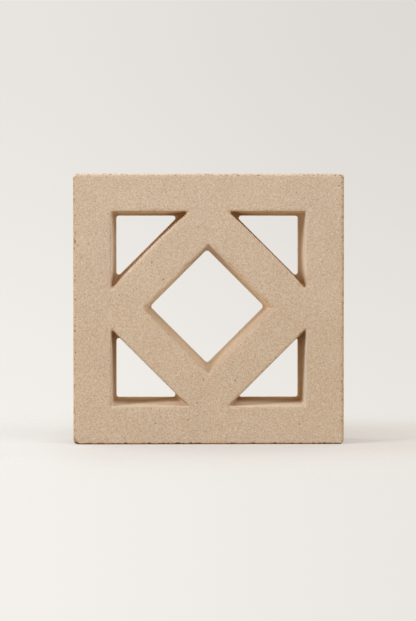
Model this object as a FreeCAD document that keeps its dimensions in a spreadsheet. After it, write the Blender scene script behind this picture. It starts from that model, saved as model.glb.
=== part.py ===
import FreeCAD, Part
import math
import os
import Sketcher

# Decorative screen block, cast in one piece: a square frame round a diamond lattice.
# It is drawn about its own centre, X across, Y from the front (-Y) to the back, Z up,
# and then stands on the XY plane with the middle of its underside at the origin.

NODE = "screen_block"
ORIGIN_POINT = (-1, 1)
START, END = 1, 2
TOLERANCE = 0.001

# Driving dimensions: name, value in millimetres or degrees, what it sets
DRIVING = (
    ("face_size", "290", "side of the square face"),
    ("block_depth", "90", "front to back"),
    ("frame_width", "41", "outer edge of the block to the triangles' walls, at the front"),
    ("bar_width", "40", "across a bar of the diamond, at the front"),
    ("diamond_width", "98", "between opposite walls of the diamond, at the front"),
    ("frame_draft", "3.1", "lean of the triangles' walls along the frame, in degrees"),
    ("bar_draft", "2.2", "lean of the triangles' walls along the bars, in degrees"),
    ("diamond_draft", "3.2", "lean of the diamond's walls, in degrees"),
    ("outer_corner", "4.5", "radius of the block's four corners"),
    ("outer_arris", "3", "radius of the outer edges of both faces"),
    ("front_lip", "1.2", "bevel round the openings in the front face"),
    ("back_lip", "0.8", "bevel round the openings in the back face"),
    ("front_round", "0.4", "radius in the openings' corners, at the front"),
    ("diamond_back_round", "3.5", "radius in the diamond's corners, at the back"),
    ("triangle_back_round", "2.5", "radius in the triangles' corners, at the back"),
)

# Outlines that an opening is cut through, from the front to the back:
# name, depth behind the front face, widening by a lip, radius of its corners
OUTLINES = (
    ("mouth", "0", "front_lip", "front_round"),
    ("throat", "front_lip", "0", "front_round"),
    ("waist", "(block_depth - back_lip)", "0", "{opening}_back_round"),
    ("tail", "block_depth", "back_lip", "{opening}_back_round"),
)

# Kinds of wall, and whether the block's centre lies on the opening's side of the wall (1) or not (-1)
WALLS = {"frame": 1, "bar": -1, "diamond": 1}


def derived_cells():
    """Lists the formulas for the planes of the outlines and the walls' distances from the centre."""
    cells = [
        ("outer_reach", "=face_size / 2", "centre to the outer sides"),
        ("half_depth", "=block_depth / 2", "middle plane to the front and back faces"),
        ("frame_reach", "=outer_reach - frame_width", "centre to the frame's walls, at the front"),
        ("diamond_reach", "=diamond_width / 2", "centre to the diamond's walls, at the front"),
        ("bar_reach", "=diamond_reach + bar_width", "centre to the bars' outer walls, at the front"),
    ]
    for outline, depth, lip, _radius in OUTLINES:
        cells.append((f"{outline}_plane", f"=half_depth - {depth}", "middle plane to this outline"))
        for wall, side in WALLS.items():
            shift = f"{side} * ({lip} - {depth} * tan({wall}_draft * 1 deg))"
            cells.append((f"{wall}_{outline}", f"={wall}_reach + {shift}", "centre to this wall"))
    return cells


def make_sheet(document):
    """Writes the dimensions, each under its own alias."""
    sheet = document.addObject("Spreadsheet::Sheet", "dimensions")
    for row, (alias, content, note) in enumerate([*DRIVING, *derived_cells()], start=1):
        sheet.set(f"A{row}", note)
        sheet.set(f"B{row}", content)
        sheet.setAlias(f"B{row}", alias)
    document.recompute()
    return sheet


def origin_feature(body, role):
    """Returns one of the body's own origin planes or axes."""
    return next(item for item in body.Origin.OriginFeatures if item.Role == role)


def crossing(side, next_side):
    """Returns the corner of two sides, each an outward angle in degrees and a signed distance."""
    (angle, distance), (next_angle, next_distance) = side, next_side
    first, second = math.radians(angle), math.radians(next_angle)
    spread = math.sin(second - first)
    x = (distance * math.sin(second) - next_distance * math.sin(first)) / spread
    y = (next_distance * math.cos(first) - distance * math.cos(second)) / spread
    return FreeCAD.Vector(x, y, 0)


def constrain(sketch, alias, *terms):
    """Adds a dimension to a sketch and binds it to a cell of the sheet."""
    number = sketch.addConstraint(Sketcher.Constraint(*terms, getattr(sketch.Document.dimensions, alias)))
    sketch.setExpression(f"Constraints[{number}]", f"dimensions.{alias}")


def draw_outline(body, name, plane_offset, sides, radius_alias):
    """Draws a polygon with rounded corners on the block's middle plane or parallel to it.

    Each side is the angle of its outward normal, the alias of its distance from the centre,
    and whether the centre is inside it (1) or outside (-1). Sides run anticlockwise.
    """
    sheet = body.Document.dimensions
    sketch = body.newObject("Sketcher::SketchObject", name)
    sketch.AttachmentSupport = [(origin_feature(body, "XZ_Plane"), "")]
    sketch.MapMode = "FlatFace"
    sketch.setExpression("AttachmentOffset.Base.z", plane_offset)

    count = len(sides)
    lines = [(angle, within * getattr(sheet, alias)) for angle, alias, within in sides]
    radius = getattr(sheet, radius_alias)
    upright = FreeCAD.Vector(0, 0, 1)
    arcs, starts, ends = [], [], []
    for index in range(count):
        before, after = lines[index - 1], lines[index]
        centre = crossing((before[0], before[1] - radius), (after[0], after[1] - radius))
        turn = math.radians((after[0] - before[0]) % 360)
        first = math.radians(before[0])
        arc = Part.ArcOfCircle(Part.Circle(centre, upright, radius), first, first + turn)
        arcs.append(arc)
        ends.append(arc.StartPoint)
        starts.append(arc.EndPoint)
    for index in range(count):
        sketch.addGeometry(Part.LineSegment(starts[index], ends[(index + 1) % count]))
    for arc in arcs:
        sketch.addGeometry(arc)

    for index, (angle, alias, _within) in enumerate(sides):
        arc = count + index
        sketch.addConstraint(Sketcher.Constraint("Tangent", (index - 1) % count, END, arc, START))
        sketch.addConstraint(Sketcher.Constraint("Tangent", arc, END, index, START))
        if angle % 180 == 90:
            sketch.addConstraint(Sketcher.Constraint("Horizontal", index))
        elif angle % 180 == 0:
            sketch.addConstraint(Sketcher.Constraint("Vertical", index))
        else:
            heading = math.radians(math.remainder(angle + 90, 360))
            sketch.addConstraint(Sketcher.Constraint("Angle", index, heading))
        constrain(sketch, alias, "Distance", *ORIGIN_POINT, index)
        if index:
            sketch.addConstraint(Sketcher.Constraint("Equal", count, arc))
    constrain(sketch, radius_alias, "Radius", count)
    return sketch


def cut_opening(body, name, walls):
    """Cuts an opening through its outlines. Each wall is its outward angle and its kind."""
    outlines = []
    for outline, _depth, _lip, radius in OUTLINES:
        sides = [(angle, f"{wall}_{outline}", WALLS[wall]) for angle, wall in walls]
        plane = f"dimensions.{outline}_plane"
        outlines.append(draw_outline(body, f"{name}_{outline}", plane, sides, radius.format(opening=name)))
    body.Document.recompute()
    loft = body.newObject("PartDesign::SubtractiveLoft", name)
    loft.Profile = outlines[0]
    loft.Sections = outlines[1:]
    loft.Ruled = True
    body.Document.recompute()
    return loft


def outer_edges(shape, depth):
    """Names the outer edges of the flat face at a depth."""
    names = []
    for face in shape.Faces:
        box = face.BoundBox
        if abs(box.YMin - depth) > TOLERANCE or abs(box.YMax - depth) > TOLERANCE:
            continue
        for edge in face.OuterWire.Edges:
            number = next(i for i, known in enumerate(shape.Edges, start=1) if known.isSame(edge))
            names.append(f"Edge{number}")
    return names


def make_block(document, sheet):
    """Builds the block: the rounded square, its five openings and its rounded outer edges."""
    body = document.addObject("PartDesign::Body", NODE)
    body.Label = NODE

    square = [(angle, "outer_reach", 1) for angle in (0, 90, 180, 270)]
    slab = body.newObject("PartDesign::Pad", "slab")
    slab.Profile = draw_outline(body, "slab_outline", "0", square, "outer_corner")
    slab.SideType = "Symmetric"
    slab.setExpression("Length", "dimensions.block_depth")
    document.recompute()

    cut_opening(body, "diamond", [(angle, "diamond") for angle in (45, 135, 225, 315)])
    triangle = cut_opening(body, "triangle", [(90, "frame"), (225, "bar"), (360, "frame")])
    triangles = body.newObject("PartDesign::PolarPattern", "triangles")
    triangles.Originals = [triangle]
    triangles.Axis = (origin_feature(body, "Y_Axis"), [""])
    triangles.Angle = 360
    triangles.Occurrences = 4
    body.Tip = triangles
    document.recompute()

    arrises = body.newObject("PartDesign::Fillet", "outer_arrises")
    faces = (-sheet.half_depth, sheet.half_depth)
    arrises.Base = (triangles, [edge for depth in faces for edge in outer_edges(triangles.Shape, depth)])
    arrises.setExpression("Radius", "dimensions.outer_arris")

    body.setExpression("Placement.Base.z", "dimensions.outer_reach")
    document.recompute()
    return body


def check(document, bodies):
    """Stops if any object failed or any finished shape is unsound."""
    for item in document.Objects:
        if "Invalid" in item.State or "Error" in item.State:
            raise RuntimeError(f"{item.Name} failed: {item.State}")
    for body in bodies:
        if body.Shape.isNull() or not body.Shape.isValid() or len(body.Shape.Solids) != 1:
            raise RuntimeError(f"{body.Label} is not one sound solid")


def main():
    document = FreeCAD.newDocument("screen_block_model")
    sheet = make_sheet(document)
    block = make_block(document, sheet)
    check(document, [block])
    os.makedirs("parts", exist_ok=True)
    block.Shape.exportStep(f"parts/{block.Label}.step")
    box = block.Shape.BoundBox
    print(f"{block.Label}: {box.XLength:.2f} x {box.YLength:.2f} x {box.ZLength:.2f} mm,"
          f" {block.Shape.Volume / 1e6:.3f} litres, {len(block.Shape.Faces)} faces")


main()
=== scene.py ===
import math

import bmesh
import bpy
import numpy as np
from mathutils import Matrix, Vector


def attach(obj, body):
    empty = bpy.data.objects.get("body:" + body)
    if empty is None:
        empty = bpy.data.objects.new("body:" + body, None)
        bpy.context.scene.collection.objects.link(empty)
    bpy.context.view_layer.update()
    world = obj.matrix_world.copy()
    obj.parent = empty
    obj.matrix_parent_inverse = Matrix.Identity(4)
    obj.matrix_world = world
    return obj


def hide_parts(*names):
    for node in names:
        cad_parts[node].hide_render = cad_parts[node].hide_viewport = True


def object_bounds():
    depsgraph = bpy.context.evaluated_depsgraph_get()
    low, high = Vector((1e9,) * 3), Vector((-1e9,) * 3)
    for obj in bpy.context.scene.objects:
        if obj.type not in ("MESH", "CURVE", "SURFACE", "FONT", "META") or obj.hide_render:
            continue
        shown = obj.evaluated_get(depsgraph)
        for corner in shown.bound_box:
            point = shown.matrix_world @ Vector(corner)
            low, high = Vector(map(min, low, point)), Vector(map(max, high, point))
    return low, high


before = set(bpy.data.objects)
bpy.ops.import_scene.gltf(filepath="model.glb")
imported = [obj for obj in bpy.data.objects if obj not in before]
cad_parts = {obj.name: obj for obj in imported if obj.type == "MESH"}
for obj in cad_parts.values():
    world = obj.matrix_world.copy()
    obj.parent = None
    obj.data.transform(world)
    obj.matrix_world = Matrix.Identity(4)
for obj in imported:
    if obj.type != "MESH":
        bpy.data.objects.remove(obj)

# Decorative screen block of sandy cast concrete. Lengths are in metres.

CAD_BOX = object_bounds()
LOW, HIGH = np.array(CAD_BOX[0]), np.array(CAD_BOX[1])
CENTRE = np.array([0.0, 0.0, 0.145])
NODE = "screen_block"
PIECE = "screen_block_cast"
SLOT = "cast_concrete"
FLOOR = "studio_floor"
MM = 0.001
SEED = 11

# Mesh
WELD = 0.01 * MM
VOXEL = 0.7 * MM
TRIANGLES = 190_000
NORMAL_WEIGHT = 60

# Wear of the edges: the bend that makes an edge, how far it spreads, and depth and size of the wear
EDGE_BEND = 0.05 * MM
EDGE_ROUNDS = 3
GRIT_DEPTH, GRIT_SIZE = 0.20 * MM, 1.7 * MM
CHIP_DEPTH, CHIP_SIZE = 0.60 * MM, 4.5 * MM
CHIP_SHARE = (0.60, 0.86)
WAVE_DEPTH, WAVE_SIZE = 0.20 * MM, 26 * MM
UNEVEN_DEPTH, UNEVEN_SIZE = 0.10 * MM, 48 * MM

# Bites out of the outer edges, with more of them in the edges that the block stands on
BITES_PER_EDGE = 12
BASE_BITES = 2
BITE_RADII = (1.35 * MM, 2.2 * MM)
BITE_ROUGHNESS, BITE_GRAIN = 0.35 * MM, 1.3 * MM

# Lower edges, which are sharper than the others, and the chip off the front lower left corner
BASE_ARRIS = 3.0 * MM
BASE_POWER = 10
CORNER_CHIP = 4.9 * MM
CORNER_FACING = np.array([-1.0, -0.85, -0.95])
CORNER_ROUGHNESS, CORNER_GRAIN = 1.2 * MM, 2.0 * MM

# Blowholes that the front face shows, x and z in millimetres from the middle of the face
FRONT_PINHOLES = (
    (-22.5, -119.0), (-5.6, -75.4), (28.4, -76.5), (-12.3, -100.9),
    (97.1, -123.5), (139.3, 131.7), (-139.5, 68.2), (-61.0, 49.7),
)
PINHOLE_RADIUS = 0.75 * MM
PINHOLE_DEPTH = 0.9 * MM

# Pits along the outer edges, along the openings' edges and anywhere: how many, and the largest radius
OUTER_PITS, OUTER_PIT = 560, 1.1 * MM
LIP_PITS, LIP_PIT = 90, 0.8 * MM
FACE_PITS, FACE_PIT = 160, 0.9 * MM
PIT_EDGE = 0.4
PIT_RADIUS_SHARES = (0.55, 1.0)
PIT_DEPTH_SHARES = (0.35, 0.8)

# Zones of the block, by the distance from its middle along x and z
OUTER_ZONE = 138 * MM
OPENING_ZONE = 108 * MM
DIAMOND_REACH = 80 * MM
TRIANGLE_TIP = np.array([22.0, 104.0]) * MM
TIP_REACH = (4 * MM, 19 * MM)
UPPER_HALF = (5 * MM, 35 * MM)
DIAMOND_FLANK = (4 * MM, 36 * MM)
# Depths behind the front face at which the walls' paler skin and painted light turn to golden painted
# shade, the sills' ashen band of painted light begins and ends, and the painted shade at the back of the
# sills begins
WALL_DEPTHS = (14 * MM, 46 * MM)
SILL_FRONT = (12 * MM, 24 * MM)
SILL_BACK = (34 * MM, 52 * MM)
SILL_SHADE_DEPTHS = (46 * MM, 62 * MM)

# Ranges of a normal's parts for surfaces that face up, down, straight down, aside, and to the front or back
FACING_UP = (0.10, 0.70)
FACING_DOWN = (0.05, 0.40)
FACING_FLOOR = (0.45, 0.70)
FACING_ASIDE = (0.80, 0.95)
FACING_FRONT = (0.40, 0.90)
# Depths of lost material that begin to show as worn and as a pit, and that show fully
WORN_DEPTHS = (0.30 * MM, 0.75 * MM)
PIT_DEPTHS = (0.08 * MM, 0.45 * MM)

# Marks that the mesh carries for the colours of the concrete and for its painted light and shade, and their
# strengths
MARKS = ("worn", "pit", "tint", "dust_and_highlight", "wall", "tip", "lip", "pale", "under", "ashen")
WORN_LESS_ON_TOP = 0.7
TINT = 0.75
TINT_LESS_ON_TOP = 0.9
WALL_MORE_OVERHEAD = 0.25
# Less of the walls' skin and painted light on the diamond's lower walls: in front, and how much less of
# that behind
DIAMOND_BARE = 0.8
DIAMOND_BARE_BEHIND = 0.3
# Painted shade, brown, on the openings' edges: spread, and its shares all round, overhead and below
LIP_SPREAD = 1.7
LIP_SHARES = (0.10, 0.70, 0.35)
# Painted shade in the acute corners, less on the lower sills, and at the back of the sills, left and right
TIP_LESS_ON_SILL = 0.8
SILL_SHADE = (0.35, 0.75)
# Painted light, pale, on upright walls in front and more behind, and on the diamond's lower walls
UPRIGHT_PALE = 0.2
UPRIGHT_PALE_BEHIND = 0.8
DIAMOND_PALE = 0.7
SILL_LESS_IN_CORNER = 0.7
UPRIGHT_ASHEN = 0.6

# Colours of the sand and cement, linear
DARK_SAND = (0.503, 0.355, 0.247, 1)
PALE_SAND = (0.625, 0.560, 0.470, 1)
BROWN_GRAIN = (0.330, 0.190, 0.095, 1)
PALE_GRAIN = (0.740, 0.660, 0.545, 1)
WORN_SAND = (0.530, 0.320, 0.150, 1)
# Dust, paler to give the top edges a painted highlight
DUST_AND_HIGHLIGHT = (0.735, 0.697, 0.625, 1)
PIT_BROWN = (0.270, 0.150, 0.070, 1)
# Painted shade along the foot, dark brown
FOOT_SHADE_BROWN = (0.170, 0.080, 0.029, 1)
# Factors on those colours
# Walls: a paler cast skin that is partly painted light, and golden painted shade deep inside and under
# overhangs
WALL_SKIN_AND_LIGHT = (1.220, 1.330, 1.460, 1)
WALL_GOLDEN_SHADE = (1.310, 1.190, 0.960, 1)
# Painted light on walls, pale and ashen
WALL_PAINTED_LIGHT = (1.450, 1.460, 1.430, 1)
WALL_ASHEN_LIGHT = (1.060, 1.140, 1.270, 1)
# Painted shade on the openings' edges
LIP_SHADE = (0.820, 0.660, 0.500, 1)
FOOT_TINT = (1.000, 0.980, 0.950, 1)
HEAD_TINT = (1.000, 1.010, 1.030, 1)
# Painted shade in the acute corners and at the back of the sills
TIP_SHADE = (0.700, 0.550, 0.390, 1)
# Channel of a grain's random colour, share of the grains that stay plain, strength and colour
SPECKS = (
    (1, 0.975, 0.65, BROWN_GRAIN),
    (2, 0.970, 0.70, PALE_GRAIN),
)

# Scales of the textures, in features to the metre
GRAIN_SCALE = 1400.0
FINE_SCALE = 1500.0
MEDIUM_SCALE = 330.0
CLOUD_SCALE = 21.0
PATCH_SCALE = 420.0
CRUMB_SCALE = 800.0
# Grain: share of the medium noise, mean of the sum, and how much is left out on the smoother walls
MEDIUM_SHARE = 0.5
GRAIN_MEAN = 0.75
WALL_SMOOTHNESS = 0.6
# Bump: shares of the fine noise and of the grains, strength and height
FINE_BUMP = 0.7
GRAIN_BUMP = 0.3
BUMP_STRENGTH = 0.2
BUMP_DISTANCE = 0.4 * MM
SPECULAR = 0.22
PIT_STRENGTH = 0.75
# Waviness of the painted shade along the foot
FOOT_SHADE_WAVE = 1.2 * MM

# Ramps: two values, and the results at them. These are of noise or grain
CLOUD_SHADES = (0.3, 0.7, 0.975, 1.025)
ROUGHNESS = (0.3, 1.2, 0.98, 0.84)
WORN_PATCHES = (0.30, 0.60, 0.2, 0.9)
TINT_PATCHES = (0.35, 0.65, 0.25, 0.85)
DUST_AND_HIGHLIGHT_PATCHES = (0.35, 0.65, 0.8, 0.3)
FOOT_CRUMBS = (0.35, 0.60, 0.35, 1.0)
# These are of heights above the floor: tint of the faces, rubbed foot, painted shade along the foot and in
# its chips
HEIGHT_TINT = (0.02, 0.27, 0.0, 1.0)
FOOT_RUBBED = (1.4 * MM, 2.8 * MM, 0.9, 0.0)
FOOT_SHADE = (0.25 * MM, 0.75 * MM, 0.95, 0.0)
CHIP_SHADE = (1.5 * MM, 4.0 * MM, 0.85, 0.0)

# Stage
FLOOR_RADIUS = 3.0
FLOOR_SEGMENTS = 96
FLOOR_GAP = 0.05 * MM
FLOOR_FADE = (0.10, 0.55)
FLOOR_COLOUR = (0.440, 0.440, 0.444, 1)
FLOOR_GLOW = (0.268, 0.257, 0.247, 1)
# Brighter glow left of the block, across the x of FLOOR_LEFT: painted light that lifts the shadow there
FLOOR_PAINTED_LIGHT_LEFT = (0.325, 0.331, 0.338, 1)
FLOOR_LEFT = (-0.19, -0.10)
BACKDROP_HIGH_LEFT = (0.807, 0.783, 0.745, 1)
BACKDROP_HIGH_RIGHT = (0.725, 0.703, 0.667, 1)
BACKDROP_LOW_LEFT = (0.905, 0.880, 0.839, 1)
BACKDROP_LOW_RIGHT = (0.831, 0.807, 0.768, 1)
# Parts of the direction between which the backdrop goes from left to right and from low to high
BACKDROP_ACROSS = (-0.06, 0.10)
BACKDROP_UP = (-0.10, 0.06)

# Light
AMBIENT = (1.0, 0.80, 0.54, 1)
AMBIENT_LEVEL = 0.45
LAMP_DISTANCE = 2.6
# name, azimuth from the front in degrees (left is negative), elevation, level, width, height
LAMPS = (
    ("key", -53, 29, 0.66, 1.00, 1.00),
    ("fill", 51, 30, 0.40, 1.80, 1.60),
    ("top", 0, 66, 0.10, 1.20, 1.20),
    ("rear_left", -120, 50, 0.26, 1.60, 1.60),
    ("rear_right", 150, 46, 0.16, 1.60, 1.60),
)

# Camera
CAMERA_PLACE = (-0.0711, -3.445, 0.2666)
CAMERA_AIM = (-0.0008, -0.045, 0.1435)
CAMERA_LENS = 184.4
CAMERA_SIGHT = 50


def lattice(cells, seed):
    """Returns a repeatable number from 0 to 1 for each cell of a lattice."""
    key = cells[0] * np.uint64(73856093) + cells[1] * np.uint64(19349663) + cells[2] * np.uint64(83492791)
    key += np.uint64(seed) * np.uint64(2654435761)
    for shift in (13, 17):
        key = (key ^ (key >> np.uint64(shift))) * np.uint64(6364136223846793005)
    return (key >> np.uint64(40)).astype(float) / float(1 << 24)


def noise(points, wavelength, seed):
    """Returns smooth noise from 0 to 1 at points in space."""
    place = points.T / wavelength + 4096.0
    cells = np.floor(place).astype(np.uint64)
    part = place - cells
    part = part * part * (3 - 2 * part)
    shares = (1 - part, part)
    total = np.zeros(len(points))
    for i, j, k in np.ndindex(2, 2, 2):
        steps = [cells[axis] + np.uint64(step) for axis, step in enumerate((i, j, k))]
        total += shares[i][0] * shares[j][1] * shares[k][2] * lattice(steps, seed)
    return total


def ramp(values, low, high):
    """Maps values to 0 at low and 1 at high, smoothly and limited to that."""
    part = np.clip((values - low) / (high - low), 0, 1)
    return part * part * (3 - 2 * part)


def with_modifier(mesh, kind, **settings):
    """Returns the mesh that a modifier makes of the given one, which it uses up."""
    carrier = bpy.data.objects.new("carrier", mesh)
    bpy.context.scene.collection.objects.link(carrier)
    modifier = carrier.modifiers.new(kind, kind)
    for name, value in settings.items():
        setattr(modifier, name, value)
    graph = bpy.context.evaluated_depsgraph_get()
    made = bpy.data.meshes.new_from_object(
        carrier.evaluated_get(graph), preserve_all_data_layers=True, depsgraph=graph
    )
    bpy.data.objects.remove(carrier)
    bpy.data.meshes.remove(mesh)
    return made


def fine_mesh(node):
    """Returns a copy of a node's mesh, welded and divided into small even faces."""
    mesh = node.data.copy()
    welded = bmesh.new()
    welded.from_mesh(mesh)
    bmesh.ops.remove_doubles(welded, verts=welded.verts, dist=WELD)
    welded.to_mesh(mesh)
    welded.free()
    return with_modifier(mesh, "REMESH", mode="VOXEL", voxel_size=VOXEL, adaptivity=0)


class Surface:
    """The points of a mesh as arrays, with what is needed to weather them."""

    def __init__(self, mesh):
        count = len(mesh.vertices)
        self.points = np.empty(count * 3)
        mesh.vertices.foreach_get("co", self.points)
        self.points = self.points.reshape(-1, 3)
        self.normals = np.empty(count * 3)
        mesh.vertices.foreach_get("normal", self.normals)
        self.normals = self.normals.reshape(-1, 3)
        self.edges = np.empty(len(mesh.edges) * 2, np.int32)
        mesh.edges.foreach_get("vertices", self.edges)
        self.edges = self.edges.reshape(-1, 2)
        self.degree = np.bincount(self.edges.ravel(), minlength=count)

    def neighbour_mean(self, values):
        """Returns each point's mean of its neighbours' values."""
        near, far = self.edges.T
        total = np.bincount(near, values[far], len(values)) + np.bincount(far, values[near], len(values))
        return total / self.degree

    def smooth(self, values, rounds):
        """Returns the values evened out between neighbours."""
        for _ in range(rounds):
            values = 0.5 * (values + self.neighbour_mean(values))
        return values

    def convexity(self):
        """Returns how far each point stands out from its neighbours."""
        middle = np.stack([self.neighbour_mean(axis) for axis in self.points.T], axis=1)
        return np.sum((self.points - middle) * self.normals, axis=1)


def nearby(points, place, reach):
    """Returns the numbers of the points within a box round a place."""
    near = np.flatnonzero(np.abs(points[:, 0] - place[0]) < reach)
    return near[np.all(np.abs(points[near] - place) < reach, axis=1)]


def off_centre(points):
    """Returns each point's distances from the middle of the block, and the larger of those in the face."""
    aside = np.abs(points - CENTRE)
    return aside, np.maximum(aside[:, 0], aside[:, 2])


def sharpen_base(points):
    """Draws the rounding of the edges that the block stands on nearer to the corner."""
    up = (BASE_ARRIS - points[:, 2]) / BASE_ARRIS
    inward = (BASE_ARRIS - (HIGH[1] - np.abs(points[:, 1]))) / BASE_ARRIS
    on = np.flatnonzero((up > 0) & (inward > 0))
    up, inward = up[on], inward[on]
    stretch = np.hypot(up, inward) / (up ** BASE_POWER + inward ** BASE_POWER) ** (1 / BASE_POWER)
    points[on, 2] = BASE_ARRIS * (1 - up * stretch)
    points[on, 1] = np.sign(points[on, 1]) * (HIGH[1] - BASE_ARRIS * (1 - inward * stretch))


def edge_wear(points, edge):
    """Returns how deep the edges are worn and the faces uneven at each point."""
    chip = ramp(noise(points, CHIP_SIZE, 1), *CHIP_SHARE)
    grit = noise(points, GRIT_SIZE, 2)
    wave = noise(points, WAVE_SIZE, 3)
    wear = edge * (GRIT_DEPTH * grit + CHIP_DEPTH * chip + WAVE_DEPTH * wave)
    return wear + UNEVEN_DEPTH * noise(points, UNEVEN_SIZE, 4)


def pit_depths(points, edge, random):
    """Returns how deep the blowholes and pits are at each point."""
    outside = off_centre(points)[1] > OUTER_ZONE
    pits = [(np.array([x * MM, LOW[1], CENTRE[2] + z * MM]), PINHOLE_RADIUS, PINHOLE_DEPTH)
            for x, z in FRONT_PINHOLES]
    for places, count, largest in (
        (np.flatnonzero((edge > PIT_EDGE) & outside), OUTER_PITS, OUTER_PIT),
        (np.flatnonzero((edge > PIT_EDGE) & ~outside), LIP_PITS, LIP_PIT),
        (np.arange(len(points)), FACE_PITS, FACE_PIT),
    ):
        for index in random.choice(places, count, replace=False):
            radius = largest * random.uniform(*PIT_RADIUS_SHARES)
            pits.append((points[index].copy(), radius, radius * random.uniform(*PIT_DEPTH_SHARES)))
    pitted = np.zeros(len(points))
    for place, radius, depth in pits:
        near = nearby(points, place, 2 * radius)
        distance = np.sum((points[near] - place) ** 2, axis=1) / radius ** 2
        pitted[near] = np.maximum(pitted[near], depth * np.exp(-distance ** 2))
    return pitted


def bite_centres(random):
    """Returns places on the outer edges of both faces, each with a bite's radius."""
    bites = []
    for depth in (LOW[1], HIGH[1]):
        for axis, across in ((0, 2), (2, 0)):
            for limit in (LOW[across], HIGH[across]):
                for _ in range(BITES_PER_EDGE * (BASE_BITES if limit == LOW[2] else 1)):
                    place = np.empty(3)
                    place[axis] = random.uniform(LOW[axis], HIGH[axis])
                    place[across] = limit
                    place[1] = depth
                    bites.append((place, random.uniform(*BITE_RADII)))
    return bites


def bite_edges(points, random):
    """Takes small rough bites out of the outer edges."""
    rough = BITE_ROUGHNESS * (noise(points, BITE_GRAIN, 5) - 0.5)
    for place, radius in bite_centres(random):
        near = nearby(points, place, radius + MM)
        away = points[near] - place
        distance = np.linalg.norm(away, axis=1)
        push = np.clip(radius - rough[near] - distance, 0, None)
        points[near] += away / distance[:, None] * push[:, None]


def chip_corner(points):
    """Breaks off the front lower left corner along a rough plane."""
    facing = CORNER_FACING / np.linalg.norm(CORNER_FACING)
    rough = CORNER_ROUGHNESS * (noise(points, CORNER_GRAIN, 6) - 0.5)
    beyond = np.clip(points @ facing - (LOW @ facing - CORNER_CHIP) + rough, 0, None)
    points -= facing * beyond[:, None]


def colour_marks(surface, start, edge, pitted):
    """Returns how much of each change of colour, painted light and shade among them, every point takes, in
    the order of MARKS.
    """
    points, normals = surface.points, surface.normals
    aside, farther = off_centre(start)
    within = farther < OPENING_ZONE
    left = points[:, 0] < CENTRE[0]
    lower = points[:, 2] < CENTRE[2]
    diamond = aside[:, 0] + aside[:, 2] < DIAMOND_REACH
    behind = points[:, 1] - LOW[1]
    deep = ramp(behind, *WALL_DEPTHS)
    upward = ramp(normals[:, 2], *FACING_UP)
    downward = ramp(-normals[:, 2], *FACING_DOWN)
    overhead = ramp(-normals[:, 2], *FACING_FLOOR)
    upright = ramp(points[:, 2] - CENTRE[2], *UPPER_HALF) * ramp(np.abs(normals[:, 0]), *FACING_ASIDE)

    # Worn places, and the outer edges: dust and a painted highlight on top, browner elsewhere
    lost = np.linalg.norm(points - start, axis=1)
    worn = ramp(lost, *WORN_DEPTHS) * (1 - WORN_LESS_ON_TOP * upward)
    pit = ramp(pitted, *PIT_DEPTHS)
    arris = edge * (farther > OUTER_ZONE)
    dust_and_highlight = arris * upward
    tint = TINT * arris * (1 - TINT_LESS_ON_TOP * upward)

    # Walls of the openings, painted shade on their edges, and golden painted shade under their overhangs
    facing = np.abs(normals[:, 1]) - WALL_MORE_OVERHEAD * downward
    wall = surface.smooth(within * (1 - ramp(facing, *FACING_FRONT)), 1)
    wall *= 1 - (DIAMOND_BARE - DIAMOND_BARE_BEHIND * deep) * upward * diamond
    shares = LIP_SHARES[0] + LIP_SHARES[1] * overhead + LIP_SHARES[2] * upward
    lip = np.clip(LIP_SPREAD * edge, 0, 1) * within * shares
    under = overhead * ~diamond

    # Painted shade in the acute corners of the triangles and at the back of their sills
    across = np.sort(aside[:, (0, 2)], axis=1)
    corner = 1 - ramp(np.linalg.norm(across - TRIANGLE_TIP, axis=1), *TIP_REACH)
    sill = within * upward * ~diamond
    tip = wall * corner * (1 - TIP_LESS_ON_SILL * upward * lower)
    tip = np.maximum(tip, np.where(left, *SILL_SHADE) * sill * ramp(behind, *SILL_SHADE_DEPTHS))

    # Painted light, pale and ashen, on walls: a band of the sills, upright walls of the upper triangles,
    # and the diamond's
    band = ramp(behind, *SILL_FRONT) * (1 - ramp(behind, *SILL_BACK))
    band *= sill * (1 - SILL_LESS_IN_CORNER * corner)
    flank = downward * ramp(aside[:, 0], *DIAMOND_FLANK)
    pale = diamond * np.maximum(flank, DIAMOND_PALE * upward * deep)
    pale = np.maximum(pale, upright * (UPRIGHT_PALE + UPRIGHT_PALE_BEHIND * deep))
    pale = np.maximum(pale, band) * (1 - tip)
    ashen = np.maximum(band, UPRIGHT_ASHEN * upright * within * left * (1 - corner))
    return worn, pit, tint, dust_and_highlight, wall, tip, lip, pale, under, ashen


def weather(mesh):
    """Wears the edges, opens the pits, breaks a corner and marks the changes of colour, painted light and
    shade among them.
    """
    surface = Surface(mesh)
    points = surface.points
    random = np.random.default_rng(SEED)
    sharpen_base(points)
    start = points.copy()
    edge = surface.smooth(np.clip(surface.convexity() / EDGE_BEND, 0, 1), EDGE_ROUNDS)
    pitted = pit_depths(points, edge, random)
    points -= surface.normals * (edge_wear(points, edge) + pitted)[:, None]
    bite_edges(points, random)
    chip_corner(points)
    points[:] = np.clip(points, LOW, HIGH)
    mesh.vertices.foreach_set("co", points.ravel())
    for name, values in zip(MARKS, colour_marks(surface, start, edge, pitted)):
        layer = mesh.attributes.new(name, "FLOAT", "POINT")
        layer.data.foreach_set("value", values.astype(np.float32))
    mesh.update()
    return mesh


def make_block():
    """Makes the visible block from the node's own mesh."""
    mesh = weather(fine_mesh(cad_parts[NODE]))
    triangles = sum(len(face.vertices) - 2 for face in mesh.polygons)
    mesh = with_modifier(mesh, "DECIMATE", ratio=TRIANGLES / triangles)
    mesh.shade_smooth()
    mesh = with_modifier(mesh, "WEIGHTED_NORMAL", weight=NORMAL_WEIGHT)
    mesh.name = PIECE
    mesh.materials.clear()
    mesh.materials.append(concrete())
    piece = bpy.data.objects.new(PIECE, mesh)
    bpy.context.scene.collection.objects.link(piece)
    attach(piece, "root")
    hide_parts(NODE)


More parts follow.
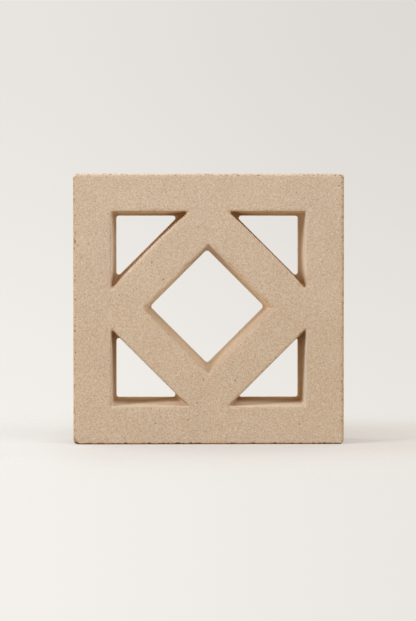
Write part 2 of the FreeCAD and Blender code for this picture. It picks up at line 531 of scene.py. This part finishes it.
class Tree:
    """Adds nodes to a node tree, linking sockets and setting values."""

    def __init__(self, tree):
        self.tree = tree
        tree.nodes.clear()

    def add(self, kind, settings=None, **inputs):
        """Adds a node. Underscores in an input's name stand for spaces."""
        node = self.tree.nodes.new(kind)
        for name, value in (settings or {}).items():
            setattr(node, name, value)
        for name, value in inputs.items():
            self.put(node.inputs[name.replace("_", " ")], value)
        return node

    def put(self, socket, value):
        """Links another node's output to a socket, or sets its value."""
        if isinstance(value, bpy.types.NodeSocket):
            self.tree.links.new(value, socket)
        else:
            socket.default_value = value

    def math(self, operation, first, second):
        """Returns the result of a calculation with two numbers."""
        node = self.tree.nodes.new("ShaderNodeMath")
        node.operation = operation
        self.put(node.inputs[0], first)
        self.put(node.inputs[1], second)
        return node.outputs[0]

    def ramp(self, value, low, high, start=0.0, end=1.0):
        """Maps a value to start at low and end at high, smoothly and limited to that."""
        node = self.add("ShaderNodeMapRange", {"interpolation_type": "SMOOTHSTEP"}, Value=value)
        for name, number in (("From Min", low), ("From Max", high), ("To Min", start), ("To Max", end)):
            node.inputs[name].default_value = number
        return node.outputs[0]

    def mix(self, factor, first, second, blend="MIX"):
        """Returns a blend of two colours."""
        node = self.tree.nodes.new("ShaderNodeMix")
        node.data_type = "RGBA"
        node.blend_type = blend
        self.put(node.inputs[0], factor)
        self.put(node.inputs[6], first)
        self.put(node.inputs[7], second)
        return node.outputs[2]

    def blend(self, factor, first, second):
        """Returns a blend of two shaders."""
        node = self.add("ShaderNodeMixShader", Fac=factor)
        self.put(node.inputs[1], first)
        self.put(node.inputs[2], second)
        return node.outputs[0]

    def seen(self):
        """Returns 1 for the rays of the camera and of reflections, and 0 for light."""
        rays = self.add("ShaderNodeLightPath").outputs
        mirrored = self.math("MAXIMUM", rays["Is Glossy Ray"], rays["Is Transmission Ray"])
        return self.math("MAXIMUM", rays["Is Camera Ray"], mirrored)

    def noise(self, place, scale, detail):
        """Returns a noise texture's value."""
        node = self.add("ShaderNodeTexNoise", Vector=place, Scale=scale, Detail=detail, Roughness=0.5)
        return node.outputs[0]


def concrete():
    """Makes the sandy concrete: grain and specks, paler walls with painted light and shade, worn and dusty
    edges with a painted highlight on top, pits, and painted shade along the foot.
    """
    material = bpy.data.materials.new(SLOT)
    material.use_nodes = True
    t = Tree(material.node_tree)
    place = t.add("ShaderNodeTexCoord").outputs["Object"]
    split = t.add("ShaderNodeSeparateXYZ", Vector=place)
    behind, above = split.outputs["Y"], split.outputs["Z"]
    worn, pit, tint, dust_and_highlight, wall, tip, lip, pale, under, ashen = [
        t.add("ShaderNodeAttribute", {"attribute_name": name}).outputs["Fac"] for name in MARKS
    ]
    plain = t.math("SUBTRACT", 1.0, t.math("MULTIPLY", wall, WALL_SMOOTHNESS))

    # Grain of the sand, cloudiness and specks
    grains = t.add("ShaderNodeTexVoronoi", Vector=place, Scale=GRAIN_SCALE)
    kind = t.add("ShaderNodeSeparateColor", Color=grains.outputs["Color"]).outputs
    fine = t.noise(place, FINE_SCALE, 1.0)
    medium = t.noise(place, MEDIUM_SCALE, 1.0)
    grain = t.math("ADD", kind[0], t.math("MULTIPLY", medium, MEDIUM_SHARE))
    spread = t.math("MULTIPLY", t.math("SUBTRACT", grain, GRAIN_MEAN), plain)
    colour = t.mix(t.math("ADD", spread, 0.5), DARK_SAND, PALE_SAND)
    shade = t.ramp(t.noise(place, CLOUD_SCALE, 3.0), *CLOUD_SHADES)
    grey = t.add("ShaderNodeCombineColor", Red=shade, Green=shade, Blue=shade).outputs[0]
    colour = t.mix(1.0, colour, grey, "MULTIPLY")
    for channel, share, strength, speck in SPECKS:
        chosen = t.math("GREATER_THAN", kind[channel], share)
        colour = t.mix(t.math("MULTIPLY", chosen, t.math("MULTIPLY", plain, strength)), colour, speck)

    # Faces browner towards the foot, painted shade on the edges of the openings, walls with their skin,
    # painted light and shade, and painted shade in their corners
    height_tint = t.mix(t.ramp(above, *HEIGHT_TINT), FOOT_TINT, HEAD_TINT)
    colour = t.mix(t.math("SUBTRACT", 1.0, wall), colour, height_tint, "MULTIPLY")
    colour = t.mix(lip, colour, LIP_SHADE, "MULTIPLY")
    deep = t.ramp(behind, CAD_BOX[0][1] + WALL_DEPTHS[0], CAD_BOX[0][1] + WALL_DEPTHS[1])
    # Paler skin that is partly painted light, golden painted shade deep inside and under overhangs, and
    # painted light
    wall_light = t.mix(pale, t.mix(t.math("MAXIMUM", deep, under), WALL_SKIN_AND_LIGHT, WALL_GOLDEN_SHADE), WALL_PAINTED_LIGHT)
    colour = t.mix(wall, colour, wall_light, "MULTIPLY")
    colour = t.mix(ashen, colour, WALL_ASHEN_LIGHT, "MULTIPLY")
    colour = t.mix(tip, colour, TIP_SHADE, "MULTIPLY")

    # Rubbed edges and foot, dust and a painted highlight on top, pits
    patchy = t.noise(place, PATCH_SCALE, 2.0)
    crumbs = t.noise(place, CRUMB_SCALE, 1.0)
    chipped = t.math("MULTIPLY", worn, t.ramp(patchy, *WORN_PATCHES))
    brown = t.math("MULTIPLY", tint, t.ramp(patchy, *TINT_PATCHES))
    foot = t.math("MULTIPLY", t.ramp(above, *FOOT_RUBBED), t.ramp(crumbs, *FOOT_CRUMBS))
    rubbed = t.math("MAXIMUM", t.math("MAXIMUM", chipped, brown), foot)
    colour = t.mix(rubbed, colour, WORN_SAND)
    colour = t.mix(t.math("MULTIPLY", dust_and_highlight, t.ramp(patchy, *DUST_AND_HIGHLIGHT_PATCHES)), colour, DUST_AND_HIGHLIGHT)
    colour = t.mix(t.math("MULTIPLY", pit, PIT_STRENGTH), colour, PIT_BROWN)

    # Painted shade along the foot and in its chips
    wavy = t.math("SUBTRACT", above, t.math("MULTIPLY", crumbs, FOOT_SHADE_WAVE))
    low_chips = t.math("MULTIPLY", worn, t.ramp(above, *CHIP_SHADE))
    colour = t.mix(t.math("MAXIMUM", t.ramp(wavy, *FOOT_SHADE), low_chips), colour, FOOT_SHADE_BROWN)

    height = t.math("ADD", t.math("MULTIPLY", fine, FINE_BUMP), t.math("MULTIPLY", kind[0], GRAIN_BUMP))
    strength = t.math("MULTIPLY", plain, BUMP_STRENGTH)
    bump = t.add("ShaderNodeBump", Height=height, Strength=strength, Distance=BUMP_DISTANCE)
    rough = t.ramp(grain, *ROUGHNESS)
    shader = t.add("ShaderNodeBsdfPrincipled", Base_Color=colour, Roughness=rough,
                   Specular_IOR_Level=SPECULAR, Normal=bump.outputs[0])
    t.add("ShaderNodeOutputMaterial", Surface=shader.outputs[0])
    return material


def make_floor():
    """Makes the pale floor, which fades out into the backdrop away from the block."""
    material = bpy.data.materials.new(FLOOR)
    material.use_nodes = True
    t = Tree(material.node_tree)
    place = t.add("ShaderNodeTexCoord").outputs["Object"]
    reach = t.add("ShaderNodeVectorMath", {"operation": "LENGTH"}, Vector=place).outputs["Value"]
    left = t.ramp(t.add("ShaderNodeSeparateXYZ", Vector=place).outputs["X"], *FLOOR_LEFT)
    surface = t.add("ShaderNodeBsdfDiffuse", Color=FLOOR_COLOUR)
    # Glow that only the camera sees, brighter left of the block: painted light over the shadow there
    glow = t.add("ShaderNodeEmission", Color=t.mix(left, FLOOR_PAINTED_LIGHT_LEFT, FLOOR_GLOW), Strength=t.seen())
    pale = t.add("ShaderNodeAddShader")
    t.put(pale.inputs[0], surface.outputs[0])
    t.put(pale.inputs[1], glow.outputs[0])
    clear = t.add("ShaderNodeBsdfTransparent")
    faded = t.blend(t.ramp(reach, *FLOOR_FADE), pale.outputs[0], clear.outputs[0])
    t.add("ShaderNodeOutputMaterial", Surface=faded)

    disc = bmesh.new()
    bmesh.ops.create_circle(disc, cap_ends=True, segments=FLOOR_SEGMENTS, radius=FLOOR_RADIUS)
    mesh = bpy.data.meshes.new(FLOOR)
    disc.to_mesh(mesh)
    disc.free()
    mesh.materials.append(material)
    floor = bpy.data.objects.new(FLOOR, mesh)
    floor.location.z = CAD_BOX[0][2] - FLOOR_GAP
    bpy.context.scene.collection.objects.link(floor)


def make_world():
    """Makes the warm ambient light, and the pale backdrop that only the camera and reflections see."""
    world = bpy.data.worlds.new("studio")
    bpy.context.scene.world = world
    world.use_nodes = True
    t = Tree(world.node_tree)
    direction = t.add("ShaderNodeTexCoord").outputs["Generated"]
    split = t.add("ShaderNodeSeparateXYZ", Vector=direction)
    across = t.ramp(split.outputs["X"], *BACKDROP_ACROSS)
    low = t.mix(across, BACKDROP_LOW_LEFT, BACKDROP_LOW_RIGHT)
    high = t.mix(across, BACKDROP_HIGH_LEFT, BACKDROP_HIGH_RIGHT)
    backdrop = t.mix(t.ramp(split.outputs["Z"], *BACKDROP_UP), low, high)
    light = t.add("ShaderNodeBackground", Color=AMBIENT, Strength=AMBIENT_LEVEL)
    view = t.add("ShaderNodeBackground", Color=backdrop, Strength=1.0)
    t.add("ShaderNodeOutputWorld", Surface=t.blend(t.seen(), light.outputs[0], view.outputs[0]))


def aim(thing, target):
    """Turns a lamp or camera towards a place."""
    thing.rotation_mode = "QUATERNION"
    thing.rotation_quaternion = (Vector(target) - thing.location).to_track_quat("-Z", "Y")


def make_lamps():
    """Places the soft lamps. A level of 1 lights a surface that faces the lamp to its own colour."""
    for name, azimuth, elevation, level, width, height in LAMPS:
        turn, rise = math.radians(azimuth), math.radians(elevation)
        data = bpy.data.lights.new(name, "AREA")
        data.shape = "RECTANGLE"
        data.size = width
        data.size_y = height
        data.energy = level * (math.pi * LAMP_DISTANCE) ** 2
        lamp = bpy.data.objects.new(name, data)
        offset = Vector((math.sin(turn) * math.cos(rise), -math.cos(turn) * math.cos(rise), math.sin(rise)))
        lamp.location = Vector(CENTRE) + offset * LAMP_DISTANCE
        bpy.context.scene.collection.objects.link(lamp)
        aim(lamp, CENTRE)


def make_camera():
    """Places the camera that sees the block as the photograph does."""
    data = bpy.data.cameras.new("camera")
    data.lens = CAMERA_LENS
    data.clip_end = CAMERA_SIGHT
    camera = bpy.data.objects.new("camera", data)
    camera.location = CAMERA_PLACE
    bpy.context.scene.collection.objects.link(camera)
    aim(camera, CAMERA_AIM)
    bpy.context.scene.camera = camera


make_camera()
make_block()
make_floor()
make_world()
make_lamps()
bpy.context.scene.view_settings.view_transform = "Standard"

bpy.context.view_layer.update()
